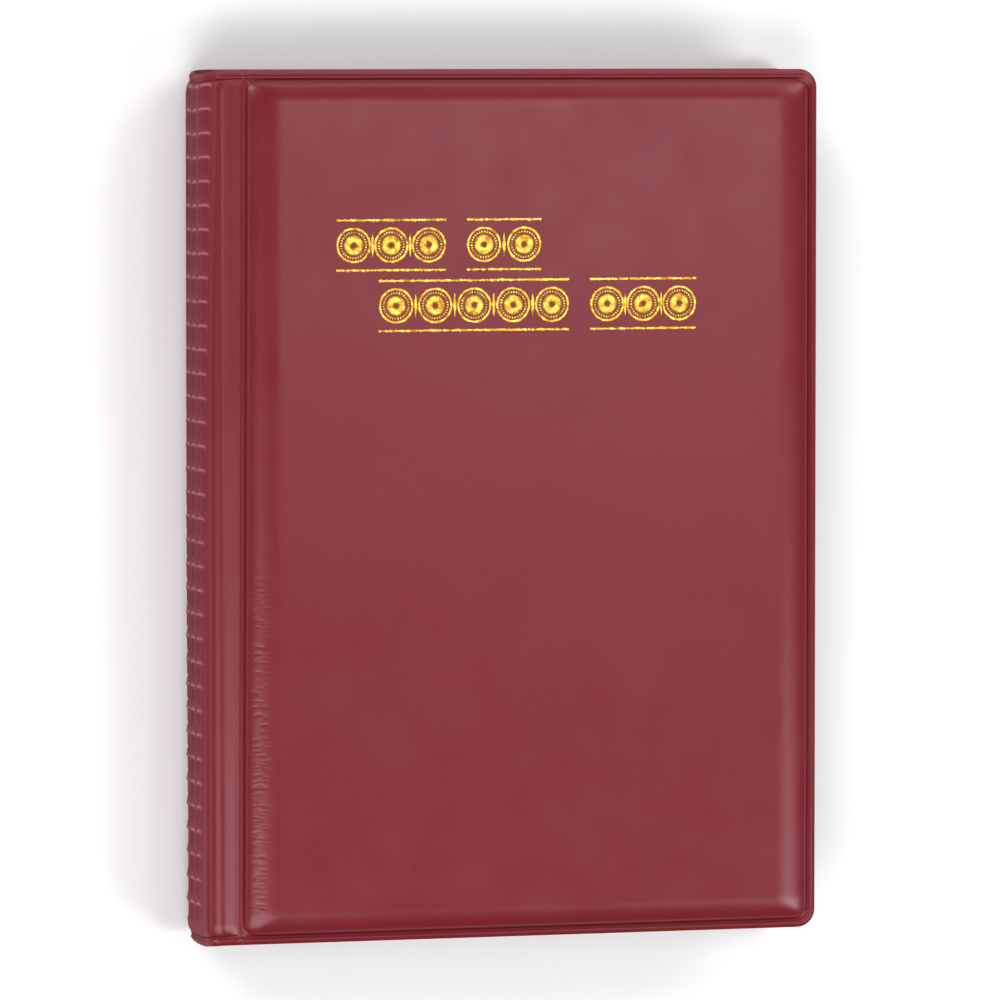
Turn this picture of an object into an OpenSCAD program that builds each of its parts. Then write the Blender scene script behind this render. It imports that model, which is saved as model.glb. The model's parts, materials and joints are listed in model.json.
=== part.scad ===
// Soft-cover coin album, closed and lying on its back cover.
// Frame: origin at the centre of the underside, +X from the spine to the fore-edge,
// +Y towards the top edge, +Z from the back cover to the front cover. Millimetres.

/* [Album] */
// Height of the covers, from the bottom edge to the top edge
cover_h = 180; // [150:1:240]
// Width of the closed album, from the spine to the fore-edge
album_w = 132; // [115:1:180]
// Number of pocket pages
page_count = 10; // [10]

/* [Spine] */
// Outer radius of the shoulders between the strips and the spine
shoulder_r = 4; // [3:0.1:5]
// Distance from the spine's outer face to the hinge weld
hinge_offset = 8.6; // [8:0.1:11]
// Thickness of the foam-backed film of the spine and strips
band_skin_t = 1.2; // [0.8:0.1:1.5]
// Width of the hinge weld
hinge_weld_w = 1.1; // [1:0.1:2]
// How much shorter the spine film is at each end than the covers
spine_end_gap = 1.4; // [0.5:0.1:3]

/* [Cover panel] */
// Thickness of the outer film
film_t = 0.4; // [0.3:0.05:0.6]
// Thickness of the lining film
lining_t = 0.4; // [0.3:0.05:0.6]
// Thickness of the board
board_t = 1.5; // [1:0.1:2.5]
// Thickness of the foam over the board
foam_t = 1.0; // [0.6:0.1:2]
// Width of the flat weld rim round the pad
rim_w = 1.5; // [1:0.1:3]
// Width of the soft slope from the rim to the top of the pad
slope_w = 5.4; // [3:0.1:8]
// Radius of the two corners at the fore-edge
corner_r = 3.8; // [2:0.1:8]
// Radius of the two corners at the hinge weld
hinge_corner_r = 0.3; // [0.2:0.1:1]
// Radius of the board's corners
board_r = 4; // [2:0.1:8]

/* [Pages] */
// Distance from one page to the next
page_pitch = 1.55; // [1.5:0.01:1.8]
// Height of a page
page_h = 168; // [140:1:230]
// Distance from a page's free edge to the edge of the cover
page_inset = 3.5; // [2:0.1:8]
// Thickness of the clear film behind the pockets
page_film_t = 0.3; // [0.2:0.01:0.35]
// Thickness of the clear film in front of the pockets
pocket_film_t = 0.25; // [0.2:0.01:0.3]
// Depth of a pocket, between its two films
pocket_gap = 0.6; // [0.5:0.05:0.7]
// Pockets across a page
pocket_cols = 3; // [2:1:4]
// Pockets up a page
pocket_rows = 4; // [3:1:5]
// Width of the weld seams between the pockets
seam_w = 2; // [1:0.1:3]
// Height of the opening at the top of each pocket
pocket_mouth = 2.5; // [2:0.1:5]
// Length of the shortest binding tab, at the outermost pages
tab_min = 2; // [1.8:0.1:3]
// How much longer each tab is towards the middle pages
tab_step = 1.2; // [1.1:0.1:1.6]

/* [Foil] */
// Thickness of the stamped foil
foil_t = 0.03; // [0.02:0.01:0.1]
// Diameter of each foil coin
coin_d = 7.4; // [5:0.1:9]

/* [Hidden] */
$fn = 64;

burgundy = "#8d3c43";
lining_red = "#7c2f36";
foam_white = "#e6e2da";
board_grey = "#a39a8c";
clear_film = [0.86, 0.9, 0.93, 0.45];
seam_film = [0.78, 0.83, 0.87, 0.7];
gold = "#f0bb3e";

// Gap between each page and the next, and the lining
page_clearance = 0.4;
page_t = page_film_t + pocket_gap + pocket_film_t;
block_t = page_clearance + page_film_t / 2 + (page_count - 1) * page_pitch
    + page_film_t / 2 + pocket_gap + pocket_film_t + 0.5;

panel_t = lining_t + board_t + foam_t + film_t;
weld_t = lining_t + film_t;
band_t = lining_t + band_skin_t;
total_t = block_t + 2 * panel_t;
mid_z = total_t / 2;

spine_x = -album_w / 2;
fore_x = album_w / 2;
hinge_x = spine_x + hinge_offset;
panel_x0 = hinge_x + 0.4;
strip_x0 = spine_x + shoulder_r;
strip_x1 = panel_x0 - hinge_weld_w;
spine_in_x = spine_x + band_t;

// Heights, counted outwards from the middle plane of the closed album
lining_in = block_t / 2;
lining_out = lining_in + lining_t;
spine_half = lining_in + band_t - shoulder_r;

page_x1 = fore_x - page_inset;
pocket_x1 = page_x1 - 1;
pocket_w = 35;
col_pitch = pocket_w + seam_w;
pocket_x0 = pocket_x1 - pocket_cols * col_pitch - seam_w;
row_pitch = (page_h - 2) / pocket_rows;
fold_gap = 0.3;
tab_t = 0.4;
// How far the tabs' roots are drawn together on the spine lining
root_spread = 0.75;

// Centre height of page i, counted from 1 at the front cover
function page_z(i) = panel_t + page_clearance + page_film_t / 2 + (page_count - i) * page_pitch;
// Place of page i in its half of the block, 0 for the outermost page
function page_rank(i) = min(i - 1, page_count - i);
// Fold line of page i
function fold_x(i) = spine_in_x + tab_min + page_rank(i) * tab_step;

// Puts a shape that is drawn as part of the front half in the front or the back half
module half(side) {
    translate([0, 0, mid_z]) mirror([0, 0, side < 0 ? 1 : 0]) children();
}

// A flat slab from height z0 to z0 + t, with corners of radius r at the fore-edge and r_hinge at the hinge
module panel_slab(inset, z0, t, r, r_hinge) {
    x0 = panel_x0 + inset;
    x1 = fore_x - inset;
    y1 = cover_h / 2 - inset;
    translate([0, 0, z0]) linear_extrude(t) union() {
        translate([x0 + r_hinge, -y1]) square([x1 - x0 - r - r_hinge, 2 * y1]);
        translate([x1 - r - 1, -y1 + r]) square([r + 1, 2 * (y1 - r)]);
        translate([x0, -y1 + r_hinge]) square([r_hinge + 1, 2 * (y1 - r_hinge)]);
        for (s = [-1, 1]) {
            translate([x1 - r, s * (y1 - r)]) circle(r);
            translate([x0 + r_hinge, s * (y1 - r_hinge)]) circle(r_hinge);
        }
    }
}

// Section of the pad across a width of 2 * w, with its steep foot and its soft shoulder
module pad_section(w, z0, inset, top) {
    polygon([
        [-w + inset, z0], [w - inset, z0],
        [w - inset - 0.2 * slope_w, z0 + 0.5 * (top - z0)],
        [w - inset - slope_w, top],
        [-w + inset + slope_w, top],
        [-w + inset + 0.2 * slope_w, z0 + 0.5 * (top - z0)]
    ]);
}

// The padded body inside the weld rim, from height z0 up to top
module pad(inset, z0, top) {
    cx = (panel_x0 + fore_x) / 2;
    wx = (fore_x - panel_x0) / 2;
    wy = cover_h / 2;
    intersection() {
        translate([cx, wy, 0]) rotate([90, 0, 0]) linear_extrude(2 * wy) pad_section(wx, z0, inset, top);
        translate([panel_x0, 0, 0]) rotate([90, 0, 90]) linear_extrude(2 * wx) pad_section(wy, z0, inset, top);
    }
}

// Outer film of a cover: a flat weld rim and the padded part over the board
module cover_skin(side) {
    color(burgundy) half(side) difference() {
        union() {
            panel_slab(0, lining_out, film_t, corner_r, hinge_corner_r);
            pad(rim_w, lining_out + film_t / 2, lining_out + board_t + foam_t + film_t);
        }
        pad(rim_w + film_t, lining_out - film_t, lining_out + board_t + foam_t);
    }
}

// Foam sheet between the board and the outer film
module cover_foam(side) {
    color(foam_white) half(side) intersection() {
        pad(rim_w + film_t, lining_out - film_t, lining_out + board_t + foam_t);
        panel_slab(rim_w + film_t + 1, lining_out + board_t, foam_t, board_r, board_r);
    }
}

// Stiff board of a cover
module cover_board(side) {
    color(board_grey) half(side)
        panel_slab(rim_w + film_t + 0.47 * slope_w, lining_out, board_t, board_r, board_r);
}

// Lining film of a cover
module cover_lining(side) {
    color(lining_red) half(side) panel_slab(0, lining_in, lining_t, corner_r, hinge_corner_r);
}

// Welded film between a cover and its strip, which folds as a living hinge
module hinge_weld(side) {
    color(burgundy) half(side)
        translate([strip_x1, -cover_h / 2, lining_in]) cube([hinge_weld_w, cover_h, weld_t]);
}

// Foam-backed film of a strip
module strip_skin(side) {
    color(burgundy) half(side)
        translate([strip_x0, -cover_h / 2, lining_out]) cube([strip_x1 - strip_x0, cover_h, band_skin_t]);
}

// Lining film of a strip
module strip_lining(side) {
    color(lining_red) half(side)
        translate([strip_x0, -cover_h / 2, lining_in]) cube([strip_x1 - strip_x0, cover_h, lining_t]);
}

// Film and lining where they bend round from the strip to the spine
module shoulder(side) {
    y1 = cover_h / 2 - spine_end_gap;
    color(burgundy) half(side)
        translate([strip_x0, y1, spine_half]) rotate([90, 0, 0]) linear_extrude(2 * y1) intersection() {
            difference() {
                circle(shoulder_r);
                circle(shoulder_r - band_t);
            }
            translate([-shoulder_r, 0]) square(shoulder_r);
        }
}

// Foam-backed, embossed film of the spine
module spine_skin() {
    y1 = cover_h / 2 - spine_end_gap;
    color(burgundy) translate([spine_x, -y1, mid_z - spine_half])
        cube([band_skin_t, 2 * y1, 2 * spine_half]);
}

// Lining film of the spine
module spine_lining() {
    y1 = cover_h / 2 - spine_end_gap;
    color(lining_red) translate([spine_x + band_skin_t, -y1, mid_z - spine_half])
        cube([lining_t, 2 * y1, 2 * spine_half]);
}

// Binding tab of page i, from the spine lining to the page's fold
module page_tab(i) {
    root_z = mid_z + root_spread * (page_z(i) - mid_z);
    end_x = fold_x(i) - fold_gap;
    color(seam_film) translate([0, page_h / 2, 0]) rotate([90, 0, 0]) linear_extrude(page_h) polygon([
        [spine_in_x, root_z - tab_t / 2], [end_x, page_z(i) - page_film_t / 2],
        [end_x, page_z(i) + page_film_t / 2], [spine_in_x, root_z + tab_t / 2]
    ]);
}

// Clear film behind the pockets of page i
module page_film(i) {
    x0 = fold_x(i) + fold_gap;
    color(clear_film) translate([x0, -page_h / 2, page_z(i) - page_film_t / 2])
        cube([page_x1 - x0, page_h, page_film_t]);
}

// Lower edge of pocket row r, counted from 0 at the bottom
function row_y(r) = -page_h / 2 + 1 + r * row_pitch;

// Clear strips in front of page i, one for each row of pockets
module page_pockets(i) {
    z0 = page_z(i) + page_film_t / 2 + pocket_gap;
    color(clear_film) for (r = [0:pocket_rows - 1])
        translate([pocket_x0, row_y(r), z0])
            cube([pocket_x1 - pocket_x0, row_pitch - pocket_mouth, pocket_film_t]);
}

// Weld seams of page i: they close each pocket at its sides and bottom and leave its top open
module page_seams(i) {
    z0 = page_z(i) + page_film_t / 2;
    color(seam_film) for (r = [0:pocket_rows - 1])
        translate([pocket_x0, row_y(r), z0]) linear_extrude(pocket_gap) difference() {
            square([pocket_x1 - pocket_x0, row_pitch - pocket_mouth]);
            for (c = [0:pocket_cols - 1])
                translate([seam_w + c * col_pitch, seam_w]) square([pocket_w, row_pitch]);
        }
}

// One block of the foil ornament: a rule above and below a row of plain coins
module foil_block(x0, y0, w, coins) {
    rule_t = 0.5;
    row_h = 11;
    for (y = [0, row_h - rule_t]) translate([x0, y0 + y]) square([w, rule_t]);
    gap = (w - coins * coin_d) / (coins - 1);
    for (k = [0:coins - 1]) translate([x0 + coin_d / 2 + k * (coin_d + gap), y0 + row_h / 2]) {
        difference() {
            circle(d = coin_d);
            circle(d = coin_d - 1.4);
        }
        circle(d = coin_d - 2.8);
    }
}

// Gold foil stamped on the front cover, in two staggered rows
module cover_foil() {
    color(gold) translate([0, 0, total_t]) linear_extrude(foil_t) {
        foil_block(-38.4, 48.5, 23.4, 3);
        foil_block(-10.6, 48.5, 16, 2);
        foil_block(-29.4, 36, 40.8, 5);
        foil_block(15.9, 36, 23, 3);
    }
}

cover_skin(-1);  // back_skin
cover_foam(-1);  // back_foam
cover_board(-1);  // back_board
cover_lining(-1);  // back_lining
hinge_weld(-1);  // back_hinge_weld
strip_skin(-1);  // back_strip_skin
strip_lining(-1);  // back_strip_lining
shoulder(-1);  // back_shoulder
spine_skin();
spine_lining();
page_tab(1);  // page_tab_01
page_tab(2);  // page_tab_02
page_tab(3);  // page_tab_03
page_tab(4);  // page_tab_04
page_tab(5);  // page_tab_05
page_tab(6);  // page_tab_06
page_tab(7);  // page_tab_07
page_tab(8);  // page_tab_08
page_tab(9);  // page_tab_09
page_tab(10);  // page_tab_10
shoulder(1);  // front_shoulder
strip_skin(1);  // front_strip_skin
strip_lining(1);  // front_strip_lining
hinge_weld(1);  // front_hinge_weld
cover_skin(1);  // front_skin
cover_foam(1);  // front_foam
cover_board(1);  // front_board
cover_lining(1);  // front_lining
cover_foil();
page_film(1);  // page_01_film
page_film(2);  // page_02_film
page_film(3);  // page_03_film
page_film(4);  // page_04_film
page_film(5);  // page_05_film
page_film(6);  // page_06_film
page_film(7);  // page_07_film
page_film(8);  // page_08_film
page_film(9);  // page_09_film
page_film(10);  // page_10_film
page_pockets(1);  // page_01_pockets
page_pockets(2);  // page_02_pockets
page_pockets(3);  // page_03_pockets
page_pockets(4);  // page_04_pockets
page_pockets(5);  // page_05_pockets
page_pockets(6);  // page_06_pockets
page_pockets(7);  // page_07_pockets
page_pockets(8);  // page_08_pockets
page_pockets(9);  // page_09_pockets
page_pockets(10);  // page_10_pockets
page_seams(1);  // page_01_seams
page_seams(2);  // page_02_seams
page_seams(3);  // page_03_seams
page_seams(4);  // page_04_seams
page_seams(5);  // page_05_seams
page_seams(6);  // page_06_seams
page_seams(7);  // page_07_seams
page_seams(8);  // page_08_seams
page_seams(9);  // page_09_seams
page_seams(10);  // page_10_seams
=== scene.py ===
"""A closed soft-cover coin album: padded PVC covers, an embossed spine and clear pocket pages."""

import json
import logging
import math
from collections.abc import Sequence
from dataclasses import dataclass
from enum import Enum

import bpy
import numpy as np
from mathutils import Matrix, Vector


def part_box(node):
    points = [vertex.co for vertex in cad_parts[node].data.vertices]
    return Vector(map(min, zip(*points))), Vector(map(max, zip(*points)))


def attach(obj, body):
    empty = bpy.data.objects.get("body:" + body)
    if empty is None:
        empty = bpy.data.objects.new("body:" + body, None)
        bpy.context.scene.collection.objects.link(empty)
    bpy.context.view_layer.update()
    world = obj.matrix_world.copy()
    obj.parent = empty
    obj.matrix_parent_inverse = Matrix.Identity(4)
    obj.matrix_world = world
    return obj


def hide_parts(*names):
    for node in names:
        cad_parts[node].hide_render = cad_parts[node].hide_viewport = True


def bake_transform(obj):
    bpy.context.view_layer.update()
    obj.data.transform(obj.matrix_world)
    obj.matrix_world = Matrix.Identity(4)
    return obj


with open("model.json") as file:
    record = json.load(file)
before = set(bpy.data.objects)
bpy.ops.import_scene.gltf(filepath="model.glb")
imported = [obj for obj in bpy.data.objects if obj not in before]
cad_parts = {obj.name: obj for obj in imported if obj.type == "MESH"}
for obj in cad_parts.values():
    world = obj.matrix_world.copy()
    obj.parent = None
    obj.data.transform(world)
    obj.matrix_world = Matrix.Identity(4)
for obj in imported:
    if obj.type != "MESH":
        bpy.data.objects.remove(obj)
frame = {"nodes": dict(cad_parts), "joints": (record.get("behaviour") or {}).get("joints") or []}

LOG = logging.getLogger("coin_album")
MM = 0.001
# Edges that turn more than this stay sharp.
CREASE_DEG = 40.0
PAGE_COUNT = 10

# The points of a sheet's upper and lower face, each of shape (rows, columns, 3).
Faces = tuple[np.ndarray, np.ndarray]


class Side(Enum):
    """The half of the album that a piece belongs to, counted from its middle plane."""

    FRONT = 1
    BACK = -1

    @property
    def prefix(self) -> str:
        """The first word of this half's node and body names."""
        return self.name.lower()


class Slot(Enum):
    """The record's material slots."""

    COVER = "cover_pvc"
    LINING = "lining_pvc"
    FOAM = "foam"
    BOARD = "board"
    CLEAR = "clear_film"
    WELD = "weld_film"
    GOLD = "gold_foil"


# ---------------------------------------------------------------- helpers


def smooth(t: np.ndarray) -> np.ndarray:
    """Eases from 0 to 1 as t goes from 0 to 1, and stays there on either side."""
    t = np.clip(t, 0.0, 1.0)
    return t * t * (3.0 - 2.0 * t)


def bump(distance: np.ndarray, width: float) -> np.ndarray:
    """A rounded ridge of height 1 across the line where distance is 0."""
    return np.exp(-((distance / width) ** 2))


def rise(t: np.ndarray, power: float) -> np.ndarray:
    """The section of a stuffed edge: steep at its foot, level at its top.

    Args:
        t: Way from the foot, 0, to the top, 1.
        power: 1 is a straight chamfer and 2 is a quarter ellipse.

    Returns:
        The height, from 0 to 1.
    """
    t = np.clip(t, 0.0, 1.0)
    return (1.0 - (1.0 - t) ** power) ** (1.0 / power)


def steps(*runs: tuple[float, float, float]) -> np.ndarray:
    """Joins runs of evenly spaced values.

    Args:
        runs: (first, last, spacing) for each run, where each run starts at the last one's end.

    Returns:
        The values in rising order, each once.
    """
    parts = [np.linspace(a, b, max(2, round((b - a) / s) + 1)) for a, b, s in runs]
    joined = np.concatenate(parts)
    return joined[np.concatenate([[True], np.diff(joined) > 1e-6])]


def waves(x: np.ndarray, y: np.ndarray, length: float, seed: int) -> np.ndarray:
    """A gentle uneven swell.

    Args:
        x: Places across, in millimetres.
        y: Places along, in millimetres.
        length: The usual distance from wave to wave, in millimetres.
        seed: Picks one swell of many.

    Returns:
        The swell at each place, about -1 to 1.
    """
    rng = np.random.default_rng(seed)
    total = np.zeros(np.broadcast(x, y).shape)
    for _ in range(7):
        angle = rng.uniform(0.0, math.tau)
        pace = math.tau / (length * rng.uniform(0.7, 1.6))
        total += np.sin(pace * (x * math.cos(angle) + y * math.sin(angle)) + rng.uniform(0.0, math.tau))
    return total / 4.0


def mesh_object(name: str, solids: Sequence[Faces]) -> bpy.types.Object:
    """Makes one object of closed sheets, each given by the points of its two faces.

    Args:
        name: The piece's name.
        solids: (upper, lower) arrays of shape (rows, columns, 3) in millimetres, for each sheet.

    Returns:
        The linked object, in metres.
    """
    points, quads, start = [], [], 0
    for upper, lower in solids:
        rows, cols = upper.shape[:2]
        index = np.arange(rows * cols).reshape(rows, cols) + start
        far = index + rows * cols
        top = np.stack([index[:-1, :-1], index[1:, :-1], index[1:, 1:], index[:-1, 1:]], -1).reshape(-1, 4)
        low = np.stack([far[:-1, :-1], far[:-1, 1:], far[1:, 1:], far[1:, :-1]], -1).reshape(-1, 4)
        loop = np.concatenate([index[0, :-1], index[:-1, -1], index[-1, :0:-1], index[:0:-1, 0]])
        after = np.roll(loop, -1)
        shift = rows * cols
        wall = np.stack([loop, after, after + shift, loop + shift], -1)
        points += [upper.reshape(-1, 3), lower.reshape(-1, 3)]
        quads += [top, low, wall]
        start += 2 * shift
    vertices = np.concatenate(points) * MM
    faces = np.concatenate(quads)
    mesh = bpy.data.meshes.new(name)
    mesh.vertices.add(len(vertices))
    mesh.vertices.foreach_set("co", vertices.astype(np.float32).ravel())
    mesh.loops.add(faces.size)
    mesh.loops.foreach_set("vertex_index", faces.astype(np.int32).ravel())
    mesh.polygons.add(len(faces))
    mesh.polygons.foreach_set("loop_start", np.arange(0, faces.size, 4, dtype=np.int32))
    mesh.update(calc_edges=True)
    outward(mesh)
    mesh.shade_smooth()
    mesh.set_sharp_from_angle(angle=math.radians(CREASE_DEG))
    made = bpy.data.objects.new(name, mesh)
    bpy.context.scene.collection.objects.link(made)
    return made


def mark(piece: bpy.types.Object, name: str, values: Sequence[np.ndarray]) -> None:
    """Stores a value for each point of a piece's sheets, which its finish can read.

    Args:
        piece: A piece made by mesh_object.
        name: The value's name.
        values: An array of shape (rows, columns) for each sheet, used on both of its faces.
    """
    both = np.concatenate([np.tile(v.ravel(), 2) for v in values])
    piece.data.attributes.new(name, "FLOAT", "POINT").data.foreach_set("value", both.astype(np.float32))


def outward(mesh: bpy.types.Mesh) -> None:
    """Turns the mesh's faces outward if the volume that they close is negative.

    Args:
        mesh: A closed mesh of four-cornered faces.
    """
    count = len(mesh.polygons)
    co = np.zeros(len(mesh.vertices) * 3)
    mesh.vertices.foreach_get("co", co)
    corner = np.zeros(count * 4, dtype=np.int32)
    mesh.loops.foreach_get("vertex_index", corner)
    a, b, c, d = (co.reshape(-1, 3)[corner.reshape(-1, 4)[:, k]] for k in range(4))
    volume = np.einsum("ij,ij->", a, np.cross(b, c)) + np.einsum("ij,ij->", a, np.cross(c, d))
    if volume < 0.0:
        mesh.flip_normals()


def stack(x: np.ndarray, y: np.ndarray, z: np.ndarray) -> np.ndarray:
    """Puts three coordinate arrays into one array of points."""
    return np.stack(np.broadcast_arrays(x, y, z), -1)


def round_corners(
    x: np.ndarray, y: np.ndarray, x1: float, y1: float, r: float
) -> tuple[np.ndarray, np.ndarray]:
    """Draws a grid's two square corners at (x1, -y1) and (x1, y1) into round ones.

    Args:
        x: The grid's places across.
        y: The grid's places along.
        x1: Where the grid ends across.
        y1: Where the grid ends along, on either side of 0.
        r: Radius of the round corners.

    Returns:
        The grid's new places across and along.
    """
    u = np.clip((x - (x1 - r)) / r, 0.0, 1.0)
    v = np.clip((np.abs(y) - (y1 - r)) / r, 0.0, 1.0)
    both = (u > 0.0) & (v > 0.0)
    new_x = np.where(both, x1 - r + r * u * np.sqrt(1.0 - v * v / 2.0), x)
    new_y = np.where(both, np.sign(y) * (y1 - r + r * v * np.sqrt(1.0 - u * u / 2.0)), y)
    return new_x, new_y


# ---------------------------------------------------------------- finishes


def linear(code: str) -> tuple[float, float, float, float]:
    """Turns an sRGB colour into linear values.

    Args:
        code: The colour as hex, such as "#8a2a30".

    Returns:
        Linear red, green and blue, and alpha 1.
    """
    values = [int(code[k : k + 2], 16) / 255.0 for k in (1, 3, 5)]
    r, g, b = (v / 12.92 if v <= 0.04045 else ((v + 0.055) / 1.055) ** 2.4 for v in values)
    return (r, g, b, 1.0)


def add_node(tree: bpy.types.NodeTree, kind: str, inputs: dict | None = None, **settings) -> bpy.types.Node:
    """Adds a node to a material.

    Args:
        tree: The material's node tree.
        kind: The node's type name.
        inputs: For each input, by name or number, its value or the socket that is linked to it.
        settings: The node's own properties.

    Returns:
        The new node.
    """
    made = tree.nodes.new(kind)
    for key, value in settings.items():
        setattr(made, key, value)
    for key, value in (inputs or {}).items():
        if isinstance(value, bpy.types.NodeSocket):
            tree.links.new(value, made.inputs[key])
        else:
            made.inputs[key].default_value = value
    return made


def new_material(name: str) -> tuple[bpy.types.Material, bpy.types.NodeTree, bpy.types.NodeSocket]:
    """Makes an empty node material.

    Args:
        name: The material's name.

    Returns:
        The material, its node tree and the socket of its object-space position, in metres.
    """
    material = bpy.data.materials.new(name)
    material.use_nodes = True
    tree = material.node_tree
    tree.nodes.clear()
    return material, tree, add_node(tree, "ShaderNodeTexCoord").outputs["Object"]


def per_metre(size_mm: float) -> float:
    """The noise scale that makes spots of about this size."""
    return 1.0 / (size_mm * MM)


@dataclass(frozen=True)
class SoftPvc:
    """Soft PVC film, calendered between rollers: an even satin with a very fine grain.

    Broad lights lie on it as soft patches, and an embossed pattern looks dull, with a painted highlight on its
    ridges and painted shade in its cells.
    """

    name: str
    colour: str
    shade: str
    # Painted highlight for the embossed ridges, and painted shade for the cells between them.
    rubbed: str
    pressed: str
    roughness: float
    grain_mm: float = 0.32
    grain_depth_mm: float = 0.012
    handled_mm: float = 9.0
    drift_mm: float = 38.0
    rubbed_share: float = 0.7
    pressed_share: float = 0.45
    pattern_dulling: float = 0.42

    def build(self) -> bpy.types.Material:
        """Makes the material.

        Returns:
            The material. It reads where highlight or shade is painted on an embossed relief, and where the
            embossed pattern lies.
        """
        material, tree, place = new_material(self.name)
        # The rollers' grain is under 0.1 mm; it is drawn at 0.3 mm so that it shows.
        grain = add_node(
            tree, "ShaderNodeTexNoise", {"Vector": place, "Scale": per_metre(self.grain_mm), "Detail": 3.0}
        )
        # Polished and dull spots about 9 mm apart.
        handled = add_node(
            tree, "ShaderNodeTexNoise", {"Vector": place, "Scale": per_metre(self.handled_mm), "Detail": 2.0}
        )
        # Broad drifts in the pigment, about 38 mm apart.
        tone = add_node(
            tree, "ShaderNodeTexNoise", {"Vector": place, "Scale": per_metre(self.drift_mm), "Detail": 4.0}
        )
        mixed = add_node(
            tree,
            "ShaderNodeMix",
            {0: tone.outputs["Fac"], 6: linear(self.colour), 7: linear(self.shade)},
            data_type="RGBA",
        )
        fleck = add_node(
            tree,
            "ShaderNodeMapRange",
            {"Value": grain.outputs["Fac"], "From Min": 0.3, "From Max": 0.75, "To Min": 0.9, "To Max": 1.06},
        )
        colour = add_node(
            tree,
            "ShaderNodeMix",
            {0: 1.0, 6: mixed.outputs[2], 7: fleck.outputs["Result"]},
            data_type="RGBA",
            blend_type="MULTIPLY",
        )
        # Painted highlight: the highest ridges of an embossed pattern, where this is above 0, are painted
        # paler, as if lit.
        # Painted shade: the cells between them, where it is below 0, are painted a deeper red, as if shaded.
        rubbed = add_node(tree, "ShaderNodeAttribute", attribute_name="rubbed").outputs["Fac"]
        for share, tint in ((self.rubbed_share, self.rubbed), (-self.pressed_share, self.pressed)):
            amount = add_node(tree, "ShaderNodeMath", {0: rubbed, 1: share}, operation="MULTIPLY")
            colour = add_node(
                tree,
                "ShaderNodeMix",
                {0: amount.outputs[0], 6: colour.outputs[2], 7: linear(tint)},
                data_type="RGBA",
            )
        # Handling has polished the film a little unevenly.
        gloss = add_node(
            tree,
            "ShaderNodeMapRange",
            {
                "Value": handled.outputs["Fac"],
                "From Min": 0.3,
                "From Max": 0.7,
                "To Min": self.roughness - 0.03,
                "To Max": self.roughness + 0.03,
            },
        )
        # The engraved roll leaves the spine's pattern duller than the plain film.
        pattern = add_node(tree, "ShaderNodeAttribute", attribute_name="pattern").outputs["Fac"]
        dulled = add_node(
            tree,
            "ShaderNodeMath",
            {0: pattern, 1: self.pattern_dulling, 2: gloss.outputs["Result"]},
            operation="MULTIPLY_ADD",
        )
        relief = add_node(
            tree,
            "ShaderNodeBump",
            {"Height": grain.outputs["Fac"], "Strength": 1.0, "Distance": self.grain_depth_mm * MM},
        )
        shader = add_node(
            tree,
            "ShaderNodeBsdfPrincipled",
            {
                "Base Color": colour.outputs[2],
                "Roughness": dulled.outputs[0],
                "Normal": relief.outputs["Normal"],
                "IOR": 1.53,
            },
        )
        add_node(tree, "ShaderNodeOutputMaterial", {"Surface": shader.outputs[0]})
        return material


@dataclass(frozen=True)
class ClearPvc:
    """Clear PVC film, cast and slightly milky: the eye sees the page behind it and soft streaks of light."""

    name: str
    colour: str
    roughness: float
    transmission: float
    ripple_mm: float = 14.0
    scuff_mm: float = 1.1

    def build(self) -> bpy.types.Material:
        """Makes the material.

        Returns:
            The material.
        """
        material, tree, place = new_material(self.name)
        # Casting leaves long ripples, and coins slid in and out leave short scuffs.
        ripple = add_node(
            tree, "ShaderNodeTexNoise", {"Vector": place, "Scale": per_metre(self.ripple_mm), "Detail": 3.0}
        )
        scuff = add_node(
            tree, "ShaderNodeTexNoise", {"Vector": place, "Scale": per_metre(self.scuff_mm), "Detail": 5.0}
        )
        haze = add_node(
            tree,
            "ShaderNodeMapRange",
            {
                "Value": scuff.outputs["Fac"],
                "From Min": 0.35,
                "From Max": 0.75,
                "To Min": self.roughness * 0.7,
                "To Max": self.roughness * 1.5,
            },
        )
        relief = add_node(
            tree, "ShaderNodeBump", {"Height": ripple.outputs["Fac"], "Strength": 0.5, "Distance": 0.3 * MM}
        )
        shader = add_node(
            tree,
            "ShaderNodeBsdfPrincipled",
            {
                "Base Color": linear(self.colour),
                "Roughness": haze.outputs["Result"],
                "Normal": relief.outputs["Normal"],
                "IOR": 1.53,
                "Transmission Weight": self.transmission,
            },
        )
        add_node(tree, "ShaderNodeOutputMaterial", {"Surface": shader.outputs[0]})
        return material


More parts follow.
